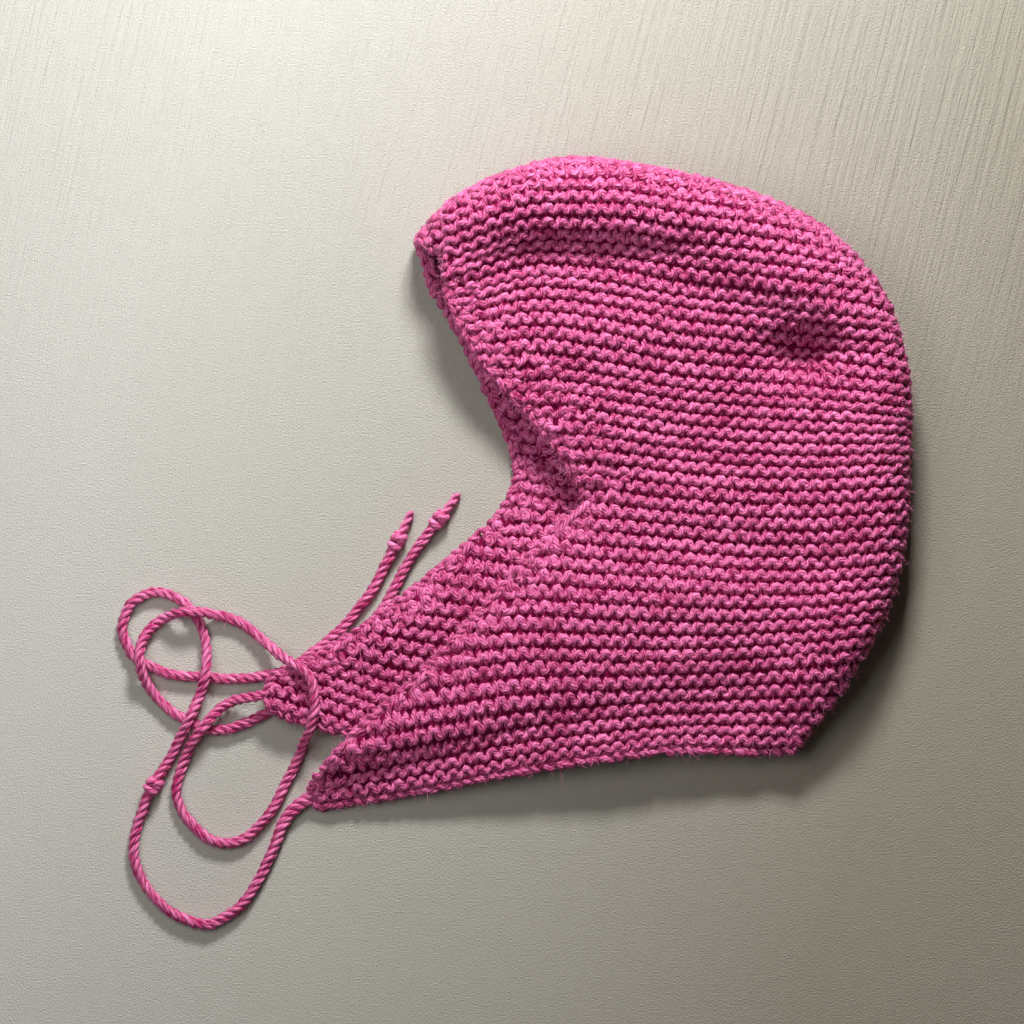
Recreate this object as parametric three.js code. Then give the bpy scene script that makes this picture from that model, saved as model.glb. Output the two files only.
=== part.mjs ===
// A baby's knitted bonnet with two pointed ear flaps and two twisted tie cords, lying flat on its side.
// Millimetres. +X points to the back of the head, +Y to the crown, +Z up from the surface it lies on.
// The origin is on that surface, under the middle of the bonnet's side.
import * as THREE from "three";

// Driving sizes of the bonnet
const LENGTH = 173.6; // from the tip of the far flap to the back of the head
const HEIGHT = 173.6; // from the crown to the tip of the near flap
const PUFF = 23.5; // height of the near layer over the surface, along the roll at the crown
const ROLL = 13.5; // depth in plan of the rounded fold between the two layers
const WALL = 3.0; // thickness of the garter-stitch fabric

// Driving sizes of the ties
const CORD_DIAMETER = 3.0;
const END_KNOT_DIAMETER = 4.7;
const TAIL_LENGTH = 6.2; // strands left beyond an end knot
const JOIN_KNOT_DIAMETER = 5.4;
const JOIN_KNOT_LENGTH = 4.4;
const CORD_LIE = 0.53; // height of a lying cord's centreline, in cord diameters
const CLEARANCE = 0.3; // between pieces that touch

// Fineness of the solids
const STEPS_PER_SECTION = 3;
const STEPS_FLAT = 9; // across each layer
const STEPS_ROLL = 4; // across each half of the fold
const CORD_SIDES = 8;
const CORD_STEP = 2.7; // in cord diameters
const KNOT_SIDES = 12;

// Share of the section's parameter that the half roll takes
const ROLL_PART = 0.25;
// Share of a layer's width that a roll may take where the layer is narrow
const NARROW_ROLL = 0.45;
// How fast the crest along the roll fades into the flat of the layer, in rolls
const CREST_FADE = 1.1;
// Share of the far layer's width over which its raised edge comes down to the surface
const LIFT_REACH = 0.4;

// Sections of the bonnet, from the forehead corner over the crown and back to the nape corner.
// Each runs from the far layer's edge round the fold to the near layer's edge. Plan places are
// shares of LENGTH (x) and HEIGHT (y) from the origin; crest, plateau, edge and lift are shares of
// PUFF; roll is a share of ROLL.
const SECTION_COLUMNS = [
  "foldX", "foldY", "nearX", "nearY", "farX", "farY",
  "crest", "plateau", "edge", "roll", "lift",
];
const SECTION_ROWS = [
  // forehead corner and crown
  [-0.341, 0.364, -0.300, 0.323, -0.331, 0.323, 0.64, 0.64, 0.64, 0.40, 0.22],
  [-0.295, 0.414, -0.300, 0.294, -0.319, 0.286, 0.81, 0.70, 0.62, 0.62, 0.17],
  [-0.218, 0.454, -0.281, 0.247, -0.292, 0.246, 0.94, 0.66, 0.60, 0.82, 0.13],
  [-0.101, 0.482, -0.252, 0.187, -0.264, 0.190, 1.00, 0.62, 0.55, 0.97, 0.08],
  [0.031, 0.465, -0.205, 0.131, -0.238, 0.140, 1.00, 0.62, 0.51, 1.00, 0.04],
  [0.187, 0.423, -0.146, 0.065, -0.213, 0.086, 0.98, 0.62, 0.48, 1.00, 0.02],
  [0.311, 0.353, -0.100, -0.005, -0.193, 0.037, 0.94, 0.62, 0.43, 0.97, 0.00],
  // back of the head, with the inner corner of the face edge on its first section
  [0.392, 0.236, -0.078, -0.051, -0.185, -0.009, 0.89, 0.60, 0.34, 0.93, 0.00],
  [0.417, 0.109, -0.124, -0.093, -0.210, -0.067, 0.85, 0.57, 0.32, 0.89, 0.00],
  [0.415, -0.016, -0.218, -0.198, -0.288, -0.140, 0.81, 0.55, 0.32, 0.85, 0.04],
  [0.407, -0.121, -0.334, -0.320, -0.404, -0.233, 0.77, 0.53, 0.38, 0.82, 0.15],
  [0.386, -0.205, -0.454, -0.428, -0.510, -0.300, 0.72, 0.51, 0.38, 0.78, 0.18],
  // flap tips
  [0.364, -0.252, -0.507, -0.498, -0.573, -0.333, 0.70, 0.49, 0.10, 0.74, 0.18],
  [0.351, -0.277, -0.504, -0.518, -0.571, -0.361, 0.68, 0.47, 0.07, 0.70, 0.18],
  // neck edge to the nape corner
  [0.330, -0.314, -0.373, -0.498, -0.432, -0.406, 0.64, 0.46, 0.15, 0.67, 0.11],
  [0.303, -0.355, -0.156, -0.456, -0.187, -0.423, 0.60, 0.45, 0.30, 0.63, 0.01],
  [0.272, -0.392, 0.062, -0.429, 0.047, -0.420, 0.55, 0.45, 0.41, 0.52, 0.00],
  [0.247, -0.426, 0.205, -0.432, 0.202, -0.420, 0.51, 0.47, 0.45, 0.30, 0.00],
];

// Dents and swellings of the near layer, the lower ones of a soft thing laid down empty.
// Centre and half lengths are shares of LENGTH, turn in degrees anticlockwise, rise a share of PUFF.
const RELIEF_COLUMNS = ["x", "y", "along", "across", "turn", "rise"];
const RELIEF_ROWS = [
  [0.257, 0.184, 0.065, 0.047, 0, -0.26], // deep dent at the upper back
  [0.249, 0.283, 0.093, 0.028, -15, 0.06], // crest above it
  [-0.047, 0.342, 0.187, 0.031, 0, -0.11], // trough along the crown
  [-0.180, 0.429, 0.093, 0.019, 27, 0.05], // welt along the brim
  [0.0, 0.218, 0.233, 0.05, 0, 0.06], // swell below the trough
  [0.187, -0.14, 0.187, 0.044, -10, -0.07], // shallow valley towards the nape
  [0.0, -0.202, 0.249, 0.047, 5, 0.05], // swell above the neck
  [0.32, 0.269, 0.072, 0.014, -21, -0.05], // line of decreases at the back of the crown
];

// The ties' routes, chosen by hand: x and y in millimetres and rise, the height of the centreline
// over a cord that lies on the surface, in cord diameters. A rise of 1.1 crosses over a cord.
const NEAR_ROUTE = [
  [-88.7, -88.3, 0.05], [-91.4, -89.8, 0.02], [-95.9, -94.5, 0], [-98.8, -101.8, 0], [-103.4, -111.2, 0],
  [-107.2, -116.9, 0], [-111.8, -120.4, 0], [-116.6, -122.6, 0], [-121.8, -121.5, 0],
  [-126.9, -119.1, 0], [-131.5, -114.8, 0], [-134.5, -110.4, 0], [-136.4, -105.6, 0],
  [-136.6, -101.0, 0], [-135.8, -96.4, 0.05], [-134.5, -92.3, 0.2], [-133.2, -88.6, 0.36],
  [-131.2, -85.0, 0.42], [-129.4, -81.6, 0.36], [-126.9, -77.8, 0.2], [-123.7, -71.3, 0.7],
  [-122.0, -68.0, 1.12], [-121.0, -65.8, 1.08], [-118.8, -60.8, 0.62], [-117.3, -55.6, 1.12],
  [-116.9, -50.2, 0.45], [-117.5, -45.1, 0.05], [-118.8, -41.3, 0], [-120.7, -38.6, 0],
  [-122.9, -35.9, 0], [-126.6, -33.8, 0], [-130.7, -32.9, 0], [-134.5, -34.0, 0],
  [-137.7, -36.5, 0], [-139.3, -40.0, 0], [-139.6, -44.0, 0], [-138.2, -47.8, 0],
  [-136.4, -50.5, 0], [-131.5, -53.2, 0], [-127.7, -54.8, 0], [-123.4, -55.6, 0],
  [-117.3, -55.7, 0], [-113.4, -56.2, 0], [-106.9, -56.2, 0], [-100.7, -55.4, 0],
  [-96.4, -54.3, 0], [-92.9, -52.7, 0], [-89.6, -50.2, 0], [-86.2, -47.6, 0],
  [-82.6, -44.6, 0], [-79.4, -41.6, 0], [-76.7, -38.1, 0], [-72.6, -32.9, 0],
  [-69.9, -27.8, 0.05], [-67.8, -23.6, 0.2], [-66.7, -21.4, 0.28],
];
const FAR_ROUTE = [
  [-101.0, -60.5, 1.4], [-103.4, -60.9, 1.3], [-106.4, -61.4, 0.95], [-109.2, -62.1, 0.6],
  [-113.4, -64.3, 0.7], [-116.7, -67.9, 1.1], [-118.0, -69.7, 1.12], [-119.7, -71.8, 0.85],
  [-122.1, -76.0, 0.15], [-123.7, -80.2, 0], [-124.8, -84.0, 0], [-125.1, -88.0, 0],
  [-123.8, -91.7, 0], [-121.8, -94.6, 0], [-117.5, -98.8, 0], [-112.3, -100.7, 0],
  [-107.2, -99.6, 0], [-102.3, -95.4, 0], [-98.3, -89.9, 0], [-95.9, -84.8, 0],
  [-93.2, -79.9, 0.05], [-91.5, -75.6, 0.5], [-90.2, -72.4, 1.35], [-88.9, -69.4, 2.15],
  [-87.9, -65.9, 2.4], [-87.7, -61.9, 2.45], [-88.1, -58.2, 2.5], [-89.6, -54.9, 2.5],
  [-92.1, -52.7, 2.45], [-95.3, -51.0, 1.6], [-99.6, -47.8, 0.65], [-102.6, -45.1, 0.2],
  [-108.3, -41.0, 0], [-113.4, -39.4, 0.2], [-118.5, -38.3, 1.1], [-121.5, -38.1, 1.26],
  [-124.2, -38.4, 1.1], [-128.5, -40.0, 0.15], [-132.3, -42.9, 0.05], [-134.3, -46.2, 0.55],
  [-135.0, -49.6, 1.05], [-134.9, -51.8, 1.12], [-134.5, -54.4, 0.8], [-133.2, -57.4, 0.2],
  [-130.7, -61.0, 0], [-127.2, -64.5, 0], [-123.1, -67.2, 0], [-116.4, -70.0, 0],
  [-111.5, -69.9, 0], [-106.7, -68.3, 0], [-102.1, -66.2, 0], [-98.6, -64.3, 0],
  [-94.2, -61.0, 0], [-89.1, -56.7, 0], [-84.0, -51.8, 0], [-80.8, -49.5, 0],
  [-77.5, -47.8, 0], [-74.8, -44.3, 0], [-72.1, -40.8, 0], [-68.6, -36.2, 0],
  [-66.4, -31.9, 0], [-64.3, -27.8, 0], [-62.1, -24.0, 0], [-59.7, -20.3, 0.05],
  [-57.3, -17.2, 0.2], [-55.9, -15.4, 0.28],
];
// Number of the route point that the join knot sits on
const JOIN_POINT = 17;

// Yarn colours, as seen in daylight
const ROSE = { color: 0xc4578c, roughness: 0.95, metalness: 0 };
const ROSE_CORD = { color: 0xcc6295, roughness: 0.95, metalness: 0 };

const tableRows = (columns, rows) =>
  rows.map((row) => Object.fromEntries(columns.map((name, i) => [name, row[i]])));

// The sections in millimetres.
const sections = tableRows(SECTION_COLUMNS, SECTION_ROWS).map((row) => ({
  foldX: row.foldX * LENGTH,
  foldY: row.foldY * HEIGHT,
  nearX: row.nearX * LENGTH,
  nearY: row.nearY * HEIGHT,
  farX: row.farX * LENGTH,
  farY: row.farY * HEIGHT,
  crest: row.crest * PUFF,
  plateau: row.plateau * PUFF,
  edge: Math.max(row.edge * PUFF, WALL / 2),
  roll: row.roll * ROLL,
  lift: row.lift * PUFF,
}));

const relief = tableRows(RELIEF_COLUMNS, RELIEF_ROWS).map((row) => ({
  x: row.x * LENGTH,
  y: row.y * HEIGHT,
  along: row.along * LENGTH,
  across: row.across * HEIGHT,
  turn: THREE.MathUtils.degToRad(row.turn),
  rise: row.rise * PUFF,
}));

// Slope of a column at each row: the harmonic mean of the steps on both sides where they agree in
// sign, else 0, so that the curve through the rows never overshoots at a flap's tip.
function slopesOf(values) {
  const steps = values.slice(1).map((value, i) => value - values[i]);
  return values.map((_, i) => {
    if (i === 0) return steps[0];
    if (i === steps.length) return steps[i - 1];
    const before = steps[i - 1];
    const after = steps[i];
    return before * after > 0 ? (2 * before * after) / (before + after) : 0;
  });
}

const columnCurves = Object.fromEntries(
  SECTION_COLUMNS.map((name) => {
    const values = sections.map((row) => row[name]);
    return [name, { values, slopes: slopesOf(values) }];
  }),
);

// One column at a place between the rows, by cubic Hermite interpolation.
function columnAt(name, place) {
  const { values, slopes } = columnCurves[name];
  const row = Math.min(Math.floor(place), values.length - 2);
  const u = place - row;
  const rest = 1 - u;
  return (
    (1 + 2 * u) * rest * rest * values[row] +
    u * rest * rest * slopes[row] +
    u * u * (3 - 2 * u) * values[row + 1] -
    u * u * rest * slopes[row + 1]
  );
}

// Height that the dents and swellings add at a point of the near layer.
function reliefAt(x, y) {
  return relief.reduce((sum, dent) => {
    const dx = x - dent.x;
    const dy = y - dent.y;
    const along = (dx * Math.cos(dent.turn) + dy * Math.sin(dent.turn)) / dent.along;
    const across = (dy * Math.cos(dent.turn) - dx * Math.sin(dent.turn)) / dent.across;
    return sum + dent.rise * Math.exp(-along * along - across * across);
  }, 0);
}

// Middle of the fabric. place runs over the sections; across runs from -1 at the far layer's edge
// through 0 at the fold to 1 at the near layer's edge. The fold is half an ellipse.
function middle(place, across) {
  const at = (name) => columnAt(name, place);
  const isNear = across >= 0;
  const fold = new THREE.Vector2(at("foldX"), at("foldY"));
  const edge = isNear
    ? new THREE.Vector2(at("nearX"), at("nearY"))
    : new THREE.Vector2(at("farX"), at("farY"));
  const width = fold.distanceTo(edge);
  const roll = Math.min(at("roll"), NARROW_ROLL * width);
  const part = Math.abs(across);
  const turn = (Math.min(part / ROLL_PART, 1) * Math.PI) / 2;
  const rollDepth = roll * (1 - Math.cos(turn));
  const flatDepth = roll + ((width - roll) * (part - ROLL_PART)) / (1 - ROLL_PART);
  const depth = part < ROLL_PART ? rollDepth : flatDepth;
  const share = depth / width;
  const plan = fold.clone().lerp(edge, share);
  const beyond = Math.max(depth - roll, 0) / (CREST_FADE * ROLL);
  const top =
    at("plateau") +
    (at("crest") - at("plateau")) * Math.exp(-beyond * beyond) +
    (at("edge") - at("plateau")) * share * share;
  const base = WALL / 2;
  const lift = at("lift") * (1 - THREE.MathUtils.smoothstep(1 - share, 0, LIFT_REACH));
  const foldHeight = (at("crest") + base + lift) / 2;
  const end = isNear ? top : base + lift;
  const bump = isNear ? reliefAt(plan.x, plan.y) * Math.sin(turn) ** 2 : 0;
  const height = foldHeight + (end - foldHeight) * Math.sin(turn) + bump;
  return new THREE.Vector3(plan.x, plan.y, height);
}

// Unit normal of the middle surface, pointing out of the hollow, by central differences.
function outward(place, across) {
  const nudge = 1e-3;
  const last = sections.length - 1;
  const alongPlace = middle(Math.min(place + nudge, last), across).sub(
    middle(Math.max(place - nudge, 0), across),
  );
  const alongAcross = middle(place, Math.min(across + nudge, 1)).sub(
    middle(place, Math.max(across - nudge, -1)),
  );
  return alongAcross.cross(alongPlace).normalize();
}

function meshOf(name, positions, triangles, look) {
  const geometry = new THREE.BufferGeometry();
  geometry.setAttribute("position", new THREE.Float32BufferAttribute(positions, 3));
  geometry.setIndex(triangles);
  geometry.computeVertexNormals();
  const mesh = new THREE.Mesh(geometry, new THREE.MeshStandardMaterial(look));
  mesh.name = name;
  return mesh;
}

// The knitted piece: a grid of points on the outside and one on the inside of the fabric, joined
// along the open edge.
function makeBody() {
  const places = (sections.length - 1) * STEPS_PER_SECTION;
  const half = [];
  for (let i = 1; i <= STEPS_ROLL; i++) half.push((ROLL_PART * i) / STEPS_ROLL);
  for (let i = 1; i <= STEPS_FLAT; i++) half.push(ROLL_PART + ((1 - ROLL_PART) * i) / STEPS_FLAT);
  const acrosses = [...half.map((value) => -value).reverse(), 0, ...half];
  const positions = [];
  for (const side of [1, -1])
    for (let i = 0; i <= places; i++)
      for (const across of acrosses) {
        const place = i / STEPS_PER_SECTION;
        const point = middle(place, across);
        point.addScaledVector(outward(place, across), (side * WALL) / 2);
        point.z = Math.max(point.z, 0);
        positions.push(point.x, point.y, point.z);
      }
  const columns = acrosses.length;
  const inner = (places + 1) * columns;
  const at = (i, j) => i * columns + j;
  const triangles = [];
  const quad = (a, b, c, d) => triangles.push(a, b, c, a, c, d);
  for (let i = 0; i < places; i++)
    for (let j = 0; j < columns - 1; j++) {
      const corners = [at(i, j), at(i, j + 1), at(i + 1, j + 1), at(i + 1, j)];
      quad(...corners);
      quad(...corners.map((corner) => corner + inner).reverse());
    }
  const rim = (a, b) => quad(b, a, a + inner, b + inner);
  for (let i = 0; i < places; i++) {
    rim(at(i + 1, 0), at(i, 0));
    rim(at(i, columns - 1), at(i + 1, columns - 1));
  }
  for (let j = 0; j < columns - 1; j++) {
    rim(at(0, j), at(0, j + 1));
    rim(at(places, j + 1), at(places, j));
  }
  return meshOf("bonnet_body", positions, triangles, ROSE);
}

const routePoints = (route) =>
  route.map(([x, y, rise]) => new THREE.Vector3(x, y, CORD_DIAMETER * (CORD_LIE + rise)));

const cordCurve = (route) => new THREE.CatmullRomCurve3(routePoints(route), false, "centripetal");

function makeCord(name, route) {
  const curve = cordCurve(route);
  const section = new THREE.Shape(
    Array.from({ length: CORD_SIDES }, (_, i) => {
      const angle = ((i + 0.5) / CORD_SIDES) * 2 * Math.PI;
      return new THREE.Vector2(Math.cos(angle), Math.sin(angle)).multiplyScalar(CORD_DIAMETER / 2);
    }),
  );
  const geometry = new THREE.ExtrudeGeometry(section, {
    steps: Math.round(curve.getLength() / (CORD_STEP * CORD_DIAMETER)),
    extrudePath: curve,
  });
  const mesh = new THREE.Mesh(geometry, new THREE.MeshStandardMaterial(ROSE_CORD));
  mesh.name = name;
  return mesh;
}

// A closed turned solid whose own axis, +Y, is laid along a direction from a point.
function turned(name, profile, from, direction) {
  const geometry = new THREE.LatheGeometry(
    profile.map(([radius, along]) => new THREE.Vector2(radius, along)),
    KNOT_SIDES,
  );
  const mesh = new THREE.Mesh(geometry, new THREE.MeshStandardMaterial(ROSE_CORD));
  mesh.name = name;
  mesh.position.copy(from);
  mesh.quaternion.setFromUnitVectors(new THREE.Vector3(0, 1, 0), direction);
  return mesh;
}

// The knot at a cord's free end with the short tail beyond it, level with the cord's last point.
function makeEndKnot(name, route) {
  const curve = cordCurve(route);
  const direction = curve.getTangent(1).setZ(0).normalize();
  const radius = END_KNOT_DIAMETER / 2;
  const tail = CORD_DIAMETER / 2 - CLEARANCE;
  const knotLength = END_KNOT_DIAMETER * 1.1;
  const whole = knotLength + TAIL_LENGTH;
  const profile = [
    [0, 0],
    [radius * 0.6, 0],
    [radius * 0.9, knotLength * 0.2],
    [radius, knotLength * 0.45],
    [radius * 0.9, knotLength * 0.75],
    [tail, knotLength],
    [tail * 0.9, knotLength + TAIL_LENGTH * 0.5],
    [tail, whole - tail],
    [tail * 0.6, whole],
    [0, whole],
  ];
  const from = curve.getPoint(1).addScaledVector(direction, CLEARANCE);
  from.z = Math.max(from.z, radius);
  return turned(name, profile, from, direction);
}

// The knot part way along the near cord: a ring round it, clear of the cord by CLEARANCE.
function makeJoinKnot(name) {
  const points = routePoints(NEAR_ROUTE);
  const centre = points[JOIN_POINT];
  const direction = points[JOIN_POINT + 1].clone().sub(points[JOIN_POINT - 1]).setZ(0).normalize();
  const hole = CORD_DIAMETER / 2 + CLEARANCE;
  const radius = JOIN_KNOT_DIAMETER / 2;
  const half = JOIN_KNOT_LENGTH / 2;
  const profile = [
    [hole, -half],
    [(hole + radius) / 2, -half],
    [radius, -half * 0.4],
    [radius, half * 0.4],
    [(hole + radius) / 2, half],
    [hole, half],
    [hole, -half],
  ];
  return turned(name, profile, centre, direction);
}

const bonnet = new THREE.Group();
bonnet.add(
  makeBody(),
  makeCord("tie_cord_near", NEAR_ROUTE),
  makeCord("tie_cord_far", FAR_ROUTE),
  makeJoinKnot("join_knot"),
  makeEndKnot("end_knot_near", NEAR_ROUTE),
  makeEndKnot("end_knot_far", FAR_ROUTE),
);

export default bonnet;
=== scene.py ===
"""A hand-knitted baby bonnet in rose-pink wool, lying flat on its side on a pale painted surface.

The knitting is modelled stitch by stitch: every row of garter stitch is one strand of yarn that
follows the bonnet's double wall. Everything is in metres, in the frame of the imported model.
"""

from __future__ import annotations

import logging
import math
from dataclasses import dataclass, field
from enum import Enum

import bpy
import numpy as np
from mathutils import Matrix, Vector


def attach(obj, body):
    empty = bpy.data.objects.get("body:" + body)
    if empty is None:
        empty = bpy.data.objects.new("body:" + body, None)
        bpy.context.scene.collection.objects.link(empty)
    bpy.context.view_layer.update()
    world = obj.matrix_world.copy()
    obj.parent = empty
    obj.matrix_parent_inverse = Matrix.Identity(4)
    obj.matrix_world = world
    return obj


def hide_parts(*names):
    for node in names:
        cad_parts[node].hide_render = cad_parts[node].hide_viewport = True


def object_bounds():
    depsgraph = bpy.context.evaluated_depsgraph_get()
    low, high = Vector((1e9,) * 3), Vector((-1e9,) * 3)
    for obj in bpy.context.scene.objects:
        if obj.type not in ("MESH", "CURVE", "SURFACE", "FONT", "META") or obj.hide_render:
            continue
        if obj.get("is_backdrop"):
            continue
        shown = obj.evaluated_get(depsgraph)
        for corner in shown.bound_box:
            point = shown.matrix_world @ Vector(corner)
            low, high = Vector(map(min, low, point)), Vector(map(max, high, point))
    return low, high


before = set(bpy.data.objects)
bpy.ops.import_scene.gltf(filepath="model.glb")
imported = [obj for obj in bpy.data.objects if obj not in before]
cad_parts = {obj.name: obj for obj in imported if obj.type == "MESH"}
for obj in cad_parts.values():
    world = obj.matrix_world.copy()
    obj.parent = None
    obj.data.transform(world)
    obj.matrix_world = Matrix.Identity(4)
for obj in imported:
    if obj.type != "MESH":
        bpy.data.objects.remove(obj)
CAD_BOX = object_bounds()

LOG = logging.getLogger("bonnet")

MM = 0.001
SEED = 11

Array = np.ndarray
Colour = tuple[float, float, float]
TURN = 2 * math.pi


class Slot(Enum):
    """Material slots."""

    KNIT = "knit"
    CORD = "cord"


def unit(vectors: Array) -> Array:
    """Vectors divided by their lengths, along the last axis."""
    length = np.linalg.norm(vectors, axis=-1, keepdims=True)
    return vectors / np.maximum(length, 1e-12)


def lengths_along(points: Array) -> Array:
    """Distance along a line of points, from 0 at its first."""
    return np.concatenate([[0.0], np.cumsum(np.linalg.norm(np.diff(points, axis=0), axis=1))])


def resample(where: Array, along: Array, values: Array) -> Array:
    """Each column of a table, read between its rows at distances along it."""
    return np.stack([np.interp(where, along, column) for column in values.T], axis=-1)


def cell_corners(grid: Array) -> Array:
    """What a grid holds at the four corners of each of its cells, going round the cell."""
    return np.stack([grid[:-1, :-1], grid[:-1, 1:], grid[1:, 1:], grid[1:, :-1]], axis=2)


def smoothstep(value: Array) -> Array:
    """u squared times (3 - 2u), with u the value held between 0 and 1."""
    held = np.clip(value, 0.0, 1.0)
    return held * held * (3.0 - 2.0 * held)


def hermite(values: Array, place: Array) -> Array:
    """Values between the rows of a table, without overshoot.

    Each row's slope is the harmonic mean of the steps on its two sides where they agree in sign,
    else 0, and a cubic Hermite curve joins the rows.

    Args:
        values: Table with one row for each whole place.
        place: Places to read, any shape.

    Returns:
        The table's columns at each place, with the shape of place before them.
    """
    steps = np.diff(values, axis=0)
    product = steps[:-1] * steps[1:]
    total = steps[:-1] + steps[1:]
    slopes = np.empty_like(values)
    slopes[0] = steps[0]
    slopes[-1] = steps[-1]
    slopes[1:-1] = np.where(product > 0, 2 * product / np.where(product > 0, total, 1.0), 0.0)
    place = np.clip(place, 0.0, len(values) - 1.0)
    row = np.minimum(place.astype(int), len(values) - 2)
    u = (place - row).reshape(place.shape + (1,) * (values.ndim - 1))
    rest = 1.0 - u
    return (
        (1 + 2 * u) * rest * rest * values[row]
        + u * rest * rest * slopes[row]
        + u * u * (3 - 2 * u) * values[row + 1]
        - u * u * rest * slopes[row + 1]
    )


def bilinear(grid: Array, place: Array) -> Array:
    """A grid's values between its nodes.

    Args:
        grid: Values on a regular grid, shape (a, b, ...).
        place: Grid places, shape (n, 2), in node numbers.

    Returns:
        Values of shape (n, ...), weighted by how near each of the four nodes is.
    """
    top = np.array(grid.shape[:2]) - 1.0
    place = np.clip(place, 0.0, top)
    low = np.minimum(place.astype(int), (top - 1).astype(int))
    part = place - low
    a = part[:, 0].reshape((-1,) + (1,) * (grid.ndim - 2))
    b = part[:, 1].reshape((-1,) + (1,) * (grid.ndim - 2))
    i, j = low[:, 0], low[:, 1]
    return (
        grid[i, j] * (1 - a) * (1 - b)
        + grid[i + 1, j] * a * (1 - b)
        + grid[i, j + 1] * (1 - a) * b
        + grid[i + 1, j + 1] * a * b
    )


@dataclass(frozen=True)
class Strand:
    """A yarn's centreline with the direction that its section's top faces."""

    points: Array
    normals: Array
    radius: Array
    tone: Array


@dataclass
class MeshParts:
    """Vertices, quads and their UVs and tones, gathered before they become one mesh."""

    points: list[Array] = field(default_factory=list)
    quads: list[Array] = field(default_factory=list)
    uvs: list[Array] = field(default_factory=list)
    tones: list[Array] = field(default_factory=list)
    count: int = 0

    def add(self, points: Array, quads: Array, uvs: Array, tones: Array) -> None:
        """Appends one surface; its quads count from its own first point."""
        self.points.append(points)
        self.quads.append(quads + self.count)
        self.uvs.append(uvs)
        self.tones.append(tones)
        self.count += len(points)

    def make(self, name: str, material: bpy.types.Material) -> bpy.types.Object:
        """Builds the gathered surfaces as one smooth mesh object.

        Args:
            name: The object's name.
            material: Its material.

        Returns:
            The object, linked to the scene.
        """
        points = np.concatenate(self.points)
        quads = np.concatenate(self.quads)
        mesh = bpy.data.meshes.new(name)
        mesh.vertices.add(len(points))
        mesh.vertices.foreach_set("co", points.astype(np.float32).ravel())
        mesh.loops.add(quads.size)
        mesh.loops.foreach_set("vertex_index", quads.astype(np.int32).ravel())
        mesh.polygons.add(len(quads))
        mesh.polygons.foreach_set("loop_start", np.arange(0, quads.size, 4, dtype=np.int32))
        mesh.polygons.foreach_set("use_smooth", np.ones(len(quads), dtype=bool))
        layer = mesh.uv_layers.new(name="UVMap")
        layer.data.foreach_set("uv", np.concatenate(self.uvs).astype(np.float32).ravel())
        tone = mesh.attributes.new("tone", "FLOAT", "POINT")
        tone.data.foreach_set("value", np.concatenate(self.tones).astype(np.float32))
        mesh.update(calc_edges=True)
        mesh.validate()
        mesh.materials.append(material)
        piece = bpy.data.objects.new(name, mesh)
        bpy.context.scene.collection.objects.link(piece)
        return piece


def sweep(parts: MeshParts, strand: Strand, sides: int, u_start: float = 0.0) -> None:
    """Adds a round tube along a strand, with rounded ends.

    Each ring is centre + radius (cos a up + sin a side), where side is the tangent crossed with the
    strand's normal and up is square to both. The first and last rings shrink to a point.

    Args:
        parts: Where the tube is gathered.
        strand: The centreline.
        sides: Points in a ring.
        u_start: UV u at the strand's start, in metres along the yarn.
    """
    tangents = unit(np.gradient(strand.points, axis=0))
    side = unit(np.cross(tangents, strand.normals))
    up = np.cross(side, tangents)
    first = strand.points[:1] - tangents[:1] * strand.radius[:1, None] * 0.5
    last = strand.points[-1:] + tangents[-1:] * strand.radius[-1:, None] * 0.5
    centres = np.concatenate([first, strand.points, last])
    radius = np.concatenate([[1e-6], strand.radius, [1e-6]])[:, None, None]
    side = np.concatenate([side[:1], side, side[-1:]])[:, None, :]
    up = np.concatenate([up[:1], up, up[-1:]])[:, None, :]
    angle = (np.arange(sides) * 2 * np.pi / sides)[None, :, None]
    rings = centres[:, None, :] + radius * (np.cos(angle) * up + np.sin(angle) * side)
    count = len(centres)
    start = np.arange(count)[:, None] * sides
    quads = cell_corners(start + np.arange(sides + 1) % sides)
    u = np.broadcast_to((lengths_along(centres) + u_start)[:, None], (count, sides + 1))
    v = np.broadcast_to(np.arange(sides + 1) / sides, (count, sides + 1))
    corners = cell_corners(np.stack([u, v], axis=-1))
    tone = np.concatenate([strand.tone[:1], strand.tone, strand.tone[-1:]])
    parts.add(
        rings.reshape(-1, 3),
        quads.reshape(-1, 4),
        corners.reshape(-1, 2),
        np.repeat(tone, sides),
    )


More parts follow.
